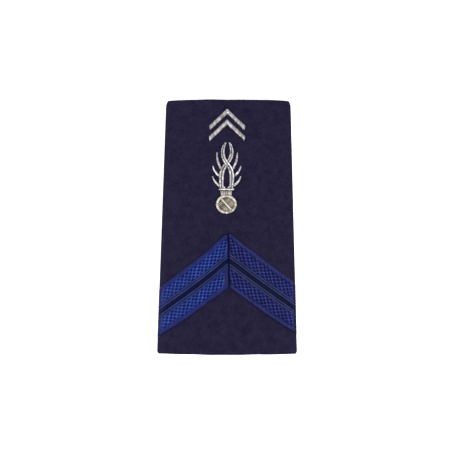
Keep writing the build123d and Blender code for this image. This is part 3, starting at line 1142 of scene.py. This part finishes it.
def embroidered(name, columns, material, nodes):
    """A piece of satin stitch; the tone of its threads drifts within each column's range."""
    points, faces, tone = [], [], []

    def add_rings(rings, size, tones):
        start, count = len(points), len(rings) // size
        points.extend(rings)
        tone.extend(np.repeat(tones, size))
        faces.extend(grid_faces(count, size, False, True, start))
        faces.append(tuple(range(start, start + size))[::-1])
        faces.append(tuple(range(start + size * (count - 1), start + size * count)))

    for stitches, tones, height, padded, painted_fade in columns:
        shade = sum(tones) / 2
        # painted light and shade along each thread: brighter at its near end, darker at its far end
        painted_fading = painted_fade * (0.5 - np.linspace(0, 1, THREAD_STEPS))
        for run in unbroken(stitches):
            if padded:
                rings = padding(run, height)
                add_rings([p for ring in rings for p in ring], len(rings[0]), np.zeros(len(rings)))
            for a, b in run:
                shade += TONE_DRIFT * (chance.choice(tones) - shade)
                add_rings(list(thread_tube(a, b, height)), THREAD_SIDES, shade + painted_fading)
    return make_piece(name, points, faces, material, nodes, {"tone": tone})


print("triangles in a stitch:", 2 * THREAD_SIDES * (THREAD_STEPS - 1) + 2 * (THREAD_SIDES - 2))

# %% [markdown]
# ## Two silver chevrons
# Each arm is one column of satin stitch, and the two meet in a mitre. The stitches stand nearly
# square to the arm, and fan out at its foot until the last one is nearly upright. Each thread is
# painted brighter at the arm's upper edge and darker downwards, the right arm the more: painted
# light and shade, for foil that catches more of the room's light at the upper edge.

# %% Chevrons
CHEVRON_SHIFT = -0.45
CHEVRON_FROM_END = 3.9
CHEVRON_SPAN = 14.0
CHEVRON_SLOPE = math.radians(43.3)
CHEVRON_WIDTH = 1.7
CHEVRON_PITCH = 4.1
CHEVRON_SLANT, CHEVRON_FOOT_SLANT = -0.9, -0.35
CHEVRON_TONES = (0.22, 0.62)
LEFT_PAINTED_FADE, RIGHT_PAINTED_FADE = 0.7, 1.05
CHEVRON_HALF_GAP = 0.05
CHEVRON_UNEVEN = 0.07


def silver_chevron(index):
    apex_y = HALF_LENGTH - CHEVRON_FROM_END - index * CHEVRON_PITCH
    depth = CHEVRON_WIDTH / math.cos(CHEVRON_SLOPE)
    half, drop = CHEVRON_SPAN / 2, CHEVRON_SPAN / 2 * math.tan(CHEVRON_SLOPE)
    columns = []
    for way, painted_fade in ((-1, LEFT_PAINTED_FADE), (1, RIGHT_PAINTED_FADE)):
        near, far = CHEVRON_SHIFT + way * CHEVRON_HALF_GAP, CHEVRON_SHIFT + way * half
        upper = [(near, apex_y), (far, apex_y - drop)]
        lower = [(x, y - depth) for x, y in upper]
        stitches = rungs(
            upper, lower, CHEVRON_SLANT, uneven=CHEVRON_UNEVEN, foot_slant=CHEVRON_FOOT_SLANT
        )
        columns.append(column(stitches, CHEVRON_TONES, painted_fade=painted_fade))
    name = ("upper", "lower")[index]
    node = f"silver_chevron_{name}"
    return embroidered(f"embroidered_chevron_{name}", columns, SMOOTH_SILVER, [node])


embroidery = [silver_chevron(index) for index in range(2)]

# %% [markdown]
# ## The flames
# Two long strands cross like a loosely twisted cord, and three small flames lick out of each. A
# strand is drawn as a middle line through a few stations, each with its share of the full width.
# It is stitched as two columns side by side, which leaves the dark line down its middle. The
# left-hand column and the foot get darker tones than the right-hand one: painted shade, as if their
# foil turned away from the lamp.

# %% Sizes of the flames
GRENADE_SHIFT = -0.6
FLAME_TIP_FROM_END = 17.15
FLAME_HEIGHT = 17.7
FLAME_HALF_SPAN = 5.5
FLAME_LEAN = 0.3
STRAND_WIDTH = 1.9
SIDE_FLAME_WIDTH = 1.0
PIECE_GAP = 0.1
FLAME_ROOT_Y = HALF_LENGTH - FLAME_TIP_FROM_END - FLAME_HEIGHT
# across, up and width, as shares of the half span, the height and the full width
MAIN_FLAME = [
    (0.335, 0.000, 0.72),
    (0.360, 0.110, 0.90),
    (0.375, 0.245, 1.00),
    (0.325, 0.365, 0.98),
    (0.155, 0.480, 0.88),
    (-0.095, 0.580, 0.80),
    (-0.270, 0.690, 0.78),
    (-0.320, 0.810, 0.74),
    (-0.250, 0.922, 0.54),
    (-0.115, 1.000, 0.22),
]
SIDE_FLAMES = {
    "upper": [
        (0.350, 0.384, 0.90),
        (0.480, 0.463, 1.00),
        (0.625, 0.566, 1.00),
        (0.700, 0.668, 0.80),
        (0.722, 0.780, 0.40),
    ],
    "middle": [
        (0.420, 0.255, 0.90),
        (0.600, 0.285, 1.00),
        (0.736, 0.330, 0.98),
        (0.900, 0.400, 0.78),
        (0.990, 0.485, 0.40),
    ],
    "lower": [
        (0.400, 0.028, 0.90),
        (0.520, 0.055, 0.98),
        (0.736, 0.115, 0.98),
        (0.900, 0.185, 0.78),
        (1.000, 0.258, 0.40),
    ],
}
print("flames:", 2 + 2 * len(SIDE_FLAMES))

# %% Outlines of the flames
CURVE_STEPS = 10


def smooth_line(points):
    """Catmull-Rom curve through rows of numbers."""
    points = np.asarray(points, float)
    padded = np.concatenate([[2 * points[0] - points[1]], points, [2 * points[-1] - points[-2]]])
    t = np.linspace(0, 1, CURVE_STEPS, endpoint=False)[:, None]
    parts = [
        0.5
        * (
            2 * b
            + (c - a) * t
            + (2 * a - 5 * b + 4 * c - d) * t**2
            + (3 * b - a - 3 * c + d) * t**3
        )
        for a, b, c, d in zip(padded, padded[1:], padded[2:], padded[3:])
    ]
    return np.concatenate([*parts, points[-1:]])


def flame_edges(stations, full_width, side, extra=0.0):
    """Left edge, middle line and right edge of a flame in plan."""
    way = 1 if side == "right" else -1
    line = smooth_line(
        [
            (
                GRENADE_SHIFT + way * a * FLAME_HALF_SPAN + u * FLAME_LEAN,
                FLAME_ROOT_Y + u * FLAME_HEIGHT,
                w * full_width,
            )
            for a, u, w in stations
        ]
    )
    middle = line[:, :2]
    ahead = np.gradient(middle, axis=0)
    ahead /= np.linalg.norm(ahead, axis=1)[:, None]
    beside = np.stack([-ahead[:, 1], ahead[:, 0]], axis=-1) * (line[:, 2:] / 2 + extra)
    return middle + beside, middle, middle - beside


def flame_shape(stations, full_width, side, extra):
    left, _, right = flame_edges(stations, full_width, side, extra)
    return np.concatenate([left, right[::-1]])


OVER_STRAND = flame_shape(MAIN_FLAME, STRAND_WIDTH, "right", PIECE_GAP)
print("points round the strand on top:", len(OVER_STRAND))

# %% Stitch the flames
MIDDLE_GROOVE, SHORT_STITCH = 0.1, 0.12
FOOT_REACH, FOOT_RISE, FOOT_PITCH = 0.7, 0.9, 0.3
EDGE_TUCK, SIDE_FLAME_TUCK = 0.06, 0.09
STRAND_HEIGHT, SIDE_FLAME_HEIGHT = 0.58, 0.52
STRAND_SLANT, SIDE_FLAME_SLANT = 0.25, 0.2
UNEVEN = 0.05
# painted shade and light: the left-hand column and the foot take the darker range of tones
SHADED_TONES, LIT_TONES, SIDE_FLAME_TONES = (0.2, 0.95), (0.45, 1.0), (0.35, 1.0)


def main_flame(side):
    """A strand as two columns of stitches, every other one short of the middle, and its foot."""
    way = 1 if side == "right" else -1
    left, middle, right = flame_edges(MAIN_FLAME, STRAND_WIDTH, side, -EDGE_TUCK)
    width = np.linalg.norm(left - right, axis=1)[:, None]
    away = (left - right) / width * np.minimum(MIDDLE_GROOVE, width * 0.15)
    columns = [
        rungs(left, middle + away, STRAND_SLANT),
        rungs(right, middle - away, STRAND_SLANT),
    ]
    for stitches in columns:
        for i in range(0, len(stitches), 2):
            a, b = stitches[i]
            short = min(SHORT_STITCH / max(np.linalg.norm(b - a), SHORTEST_STITCH), 0.5)
            stitches[i] = (a, b + (a - b) * short)
    if side == "left":
        columns = [trim(stitches, OVER_STRAND) for stitches in columns]
    inner = (left if side == "right" else right)[0]
    foot = [inner, inner + [-way * FOOT_REACH, 0]]
    foot_top = [inner + [0, FOOT_RISE], foot[1] + [0, FOOT_RISE / 3]]
    columns.append(rungs(foot, foot_top, 0, FOOT_PITCH))
    toned = [
        column(stitches, tones, STRAND_HEIGHT)
        for stitches, tones in zip(columns, (SHADED_TONES, LIT_TONES, SHADED_TONES))
    ]
    return embroidered(f"embroidered_strand_{side}", toned, SILVER, [f"flame_main_{side}"])


def side_flame(name, side):
    left, _, right = flame_edges(SIDE_FLAMES[name], SIDE_FLAME_WIDTH, side, -SIDE_FLAME_TUCK)
    strand = flame_shape(MAIN_FLAME, STRAND_WIDTH, side, PIECE_GAP)
    stitches = trim(rungs(left, right, SIDE_FLAME_SLANT, uneven=UNEVEN), strand)
    columns = [column(stitches, SIDE_FLAME_TONES, SIDE_FLAME_HEIGHT)]
    piece, node = f"embroidered_flame_{name}_{side}", f"flame_{name}_{side}"
    return embroidered(piece, columns, SILVER, [node])


embroidery += [main_flame(side) for side in ("left", "right")]
embroidery += [side_flame(name, side) for name in SIDE_FLAMES for side in ("left", "right")]

# %% [markdown]
# ## Collar, neck and ball
# The collar is a short bright bar, the neck a column of upright stitches that tuck under the edge
# of the ball. The ball has a domed rim all round and a ridge across it. Its two halves are flatter
# and duller: a few threads laid beside the ridge, with others hatched across them, so that the
# dark padding shows through in small squares.

# %% Collar and neck
COLLAR_WIDTH, COLLAR_HEIGHT = 5.8, 0.65
NECK_TOP_WIDTH, NECK_FOOT_WIDTH, NECK_HEIGHT = 4.5, 3.7, 1.8
BALL_WIDTH, BALL_HEIGHT = 8.2, 7.4
NECK_TUCK = 0.2
FILL_THICKNESS = 0.5
COLLAR_TONES, NECK_TONES = (0.7, 1.0), (0.0, 0.65)
COLLAR_SLANT = 0.15
COLLAR_Y = FLAME_ROOT_Y - PIECE_GAP - COLLAR_HEIGHT / 2
NECK_TOP_Y = COLLAR_Y - COLLAR_HEIGHT / 2 - PIECE_GAP
BALL_Y = NECK_TOP_Y - NECK_HEIGHT + PIECE_GAP - BALL_HEIGHT / 2
BALL_CENTRE = np.array([GRENADE_SHIFT, BALL_Y])
BALL_RADII = np.array([BALL_WIDTH, BALL_HEIGHT]) / 2
ELLIPSE_POINTS = 181


def ellipse(inset):
    """The ball's outline, drawn in by inset."""
    turn = np.linspace(0, 2 * np.pi, ELLIPSE_POINTS)
    return BALL_CENTRE + (BALL_RADII - inset) * np.stack([np.cos(turn), np.sin(turn)], axis=-1)


def level(y, half_width):
    return [(GRENADE_SHIFT - half_width, y), (GRENADE_SHIFT + half_width, y)]


collar = rungs(
    level(COLLAR_Y + COLLAR_HEIGHT / 2, COLLAR_WIDTH / 2),
    level(COLLAR_Y - COLLAR_HEIGHT / 2, COLLAR_WIDTH / 2),
    COLLAR_SLANT,
    uneven=UNEVEN,
)
neck_top = level(NECK_TOP_Y, NECK_TOP_WIDTH / 2)
neck_foot = level(BALL_Y + BALL_HEIGHT / 4, NECK_FOOT_WIDTH / 2)
neck = trim(rungs(neck_top, neck_foot), ellipse(NECK_TUCK))
bars = [
    ("collar", [column(collar, COLLAR_TONES)], SILVER),
    ("neck", [column(neck, NECK_TONES, FILL_THICKNESS)], WARM_SILVER),
]
for name, columns, material in bars:
    embroidery.append(embroidered(f"embroidered_{name}", columns, material, [f"grenade_{name}"]))

# %% Ball
RIM_WIDTH = 0.95
RIDGE_WIDTH, RIDGE_STITCH = 0.8, 0.6
RIDGE_SLOPE = math.radians(-47.0)
HATCH_PITCH = 0.56
UNDER_HATCH, UNDER_HATCH_START = 0.4, 0.15
FILL_TUCK = 0.05
FILL_MARGIN, SHORTEST_HATCH = 0.3, 0.4
CHORD_STEPS = 400
RIM_SLANT, RIDGE_SLANT = 0.25, 0.2
RIM_TONES, RIDGE_TONES = (0.4, 1.0), (0.8, 1.0)
UNDER_TONES, HATCH_TONES = (0.0, 0.3), (0.1, 0.75)


def chord(offset, inset, turn=0.0):
    """Line across the ball's inside, turned from its ridge and offset to its left, as two points."""
    angle = RIDGE_SLOPE + turn
    ahead = np.array([math.cos(angle), math.sin(angle)])
    beside = np.array([-ahead[1], ahead[0]])
    reach = np.linspace(-BALL_WIDTH / 2, BALL_WIDTH / 2, CHORD_STEPS)[:, None]
    line = BALL_CENTRE + beside * offset + ahead * reach
    within = line[inside(line, ellipse(inset))]
    return within[0], within[-1]


def fill_half(way):
    """Half of the ball's inside: threads laid beside the ridge, and others hatched across them.

    Their ends tuck in where the rim's stitches dive.
    """
    inset = RIM_WIDTH - FILL_TUCK
    first, last = RIDGE_WIDTH / 2, BALL_HEIGHT / 2 - inset - FILL_MARGIN
    places = np.arange(first + UNDER_HATCH_START, last, HATCH_PITCH)
    under = [chord(way * place, inset) for place in places]
    centre_line = np.array([math.cos(RIDGE_SLOPE), math.sin(RIDGE_SLOPE)])
    beside = way * np.array([-centre_line[1], centre_line[0]])
    over = []
    for along_ridge in np.arange(-last, last + 0.01, HATCH_PITCH):
        ends = chord(along_ridge, inset, np.pi / 2)
        far = max(ends, key=lambda end: (end - BALL_CENTRE) @ beside)
        near = far - beside * ((far - BALL_CENTRE) @ beside - first)
        over.append((near, far) if np.linalg.norm(far - near) > SHORTEST_HATCH else None)
    return [
        column(under, UNDER_TONES, UNDER_HATCH),
        column(over, HATCH_TONES, FILL_THICKNESS, padded=False),
    ]


rim = rungs(ellipse(0), ellipse(RIM_WIDTH), RIM_SLANT, uneven=UNEVEN)
rim.append(rim[0])
ridge_inset = RIM_WIDTH + PIECE_GAP
ridge_edges = (chord(way * RIDGE_STITCH / 2, ridge_inset) for way in (1, -1))
ridge = rungs(*ridge_edges, RIDGE_SLANT)
ball = [
    ("rim", [column(rim, RIM_TONES)], WARM_SILVER),
    ("ridge", [column(ridge, RIDGE_TONES)], WARM_SILVER),
    ("fill", fill_half(1) + fill_half(-1), DULL_SILVER),
]
for name, columns, material in ball:
    piece, node = f"embroidered_ball_{name}", f"grenade_ball_{name}"
    embroidery.append(embroidered(piece, columns, material, [node]))

# %% [markdown]
# ## How the cloth is made
# The sleeve is a sheet: cut flat with 4 mm for each side of the seam and 9 mm for each hem, then
# folded to a tube. The braid, the stripes and the embroidery are sewn on.

# %% [markdown]
# ## Table, light and camera
# The photograph is a plain product shot from straight above on pure white, with a soft light from
# the lower right. A matt white table and a pale tent all round, brightest low down, give that, with
# a lamp at the lower right and a larger, weaker one at the left. The camera looks down from 0.6 m,
# a hair turned, with the long lens that such a view needs.

# %% Table
TABLE_HALF = 4.0
TABLE_BELOW_MM = 0.2
CARD_GRAIN_MM = 2.5
table_material, table_shader = new_material("matt_white_card")
card_place = add_node(table_material, "ShaderNodeTexCoord")
card_grain = add_node(
    table_material,
    "ShaderNodeTexNoise",
    {"Scale": 1 / (CARD_GRAIN_MM * MM)},
    {"Vector": card_place.outputs["Object"]},
)
card_bump = add_node(
    table_material, "ShaderNodeBump", {"Strength": 0.02}, {"Height": card_grain.outputs["Fac"]}
)
table_material.node_tree.links.new(card_bump.outputs["Normal"], table_shader.inputs["Normal"])
table_shader.inputs["Base Color"].default_value = linear("#f7f7f7")
table_shader.inputs["Roughness"].default_value = 0.9
table_shader.inputs["Emission Color"].default_value = linear("#ffffff")
table_shader.inputs["Emission Strength"].default_value = 0.8
table_corners = [(-1, -1), (1, -1), (1, 1), (-1, 1)]
table_points = [(x * TABLE_HALF, y * TABLE_HALF, -TABLE_BELOW_MM * MM) for x, y in table_corners]
table_mesh = bpy.data.meshes.new("table")
table_mesh.from_pydata(table_points, [], [(0, 1, 2, 3)])
table_mesh.materials.append(table_material)
table = bpy.data.objects.new("table", table_mesh)
bpy.context.scene.collection.objects.link(table)
table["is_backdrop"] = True
print("table side in m:", 2 * TABLE_HALF)

# %% Light
WALL_LIGHT, CEILING_LIGHT = 1.1, 0.4
# place and side in m, power in W
KEY_PLACE, KEY_SIDE, KEY_WATTS = (0.35, -0.35, 0.9), 0.3, 10.0
FILL_PLACE, FILL_SIDE, FILL_WATTS = (-0.8, 0.0, 0.6), 1.0, 5.0
scene = bpy.context.scene
scene.view_settings.view_transform = "Standard"
world = bpy.data.worlds.new("studio_tent")
world.use_nodes = True
direction = add_node(world, "ShaderNodeTexCoord")
height = add_node(world, "ShaderNodeSeparateXYZ", {}, {"Vector": direction.outputs["Generated"]})
brightness = add_node(
    world,
    "ShaderNodeMapRange",
    {"From Min": 0.0, "From Max": 1.0, "To Min": WALL_LIGHT, "To Max": CEILING_LIGHT},
    {"Value": height.outputs["Z"]},
)
background = world.node_tree.nodes["Background"]
world.node_tree.links.new(brightness.outputs["Result"], background.inputs["Strength"])
background.inputs["Color"].default_value = linear("#ffffff")
scene.world = world


def add_lamp(name, place, side, watts):
    """A square lamp that faces the slide."""
    lamp = bpy.data.lights.new(name, "AREA")
    lamp.shape = "SQUARE"
    lamp.size = side
    lamp.energy = watts
    holder = bpy.data.objects.new(name, lamp)
    holder.location = place
    holder.rotation_mode = "QUATERNION"
    holder.rotation_quaternion = (-holder.location).to_track_quat("-Z", "Y")
    scene.collection.objects.link(holder)
    return holder


key_lamp = add_lamp("key_lamp", KEY_PLACE, KEY_SIDE, KEY_WATTS)
fill_lamp = add_lamp("fill_lamp", FILL_PLACE, FILL_SIDE, FILL_WATTS)
print("lamp watts:", key_lamp.data.energy, fill_lamp.data.energy)

# %% Camera
FOCAL_PIXELS = 1521.3
IMAGE_SIDE = 455
CAMERA_HEIGHT = 0.6
ROLL = math.radians(0.3)
AIM_ACROSS, AIM_ALONG = -0.0986, -0.118
camera_data = bpy.data.cameras.new("camera")
camera_data.sensor_width = 36.0
camera_data.lens = FOCAL_PIXELS * camera_data.sensor_width / IMAGE_SIDE
camera = bpy.data.objects.new("camera", camera_data)
camera.location = (
    (AIM_ACROSS * math.cos(ROLL) - AIM_ALONG * math.sin(ROLL)) * MM,
    (AIM_ACROSS * math.sin(ROLL) + AIM_ALONG * math.cos(ROLL)) * MM,
    CAMERA_HEIGHT,
)
camera.rotation_euler = (0, 0, ROLL)
camera_data.clip_start = 0.05
scene.collection.objects.link(camera)
scene.camera = camera
print("lens in mm:", round(camera_data.lens, 1))

# %% [markdown]
# ## Measure and finish
# The box of the dressed slide is printed beside the model's own, to show how far cloth and
# thread stand proud of it. Cloth and thread may stand only a little proud of it.

# %% Finish
visual_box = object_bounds()
for title, box in (("model", cad_box), ("dressed", visual_box)):
    print(title, "mm:", [round((high - low) / MM, 2) for low, high in zip(*box)])
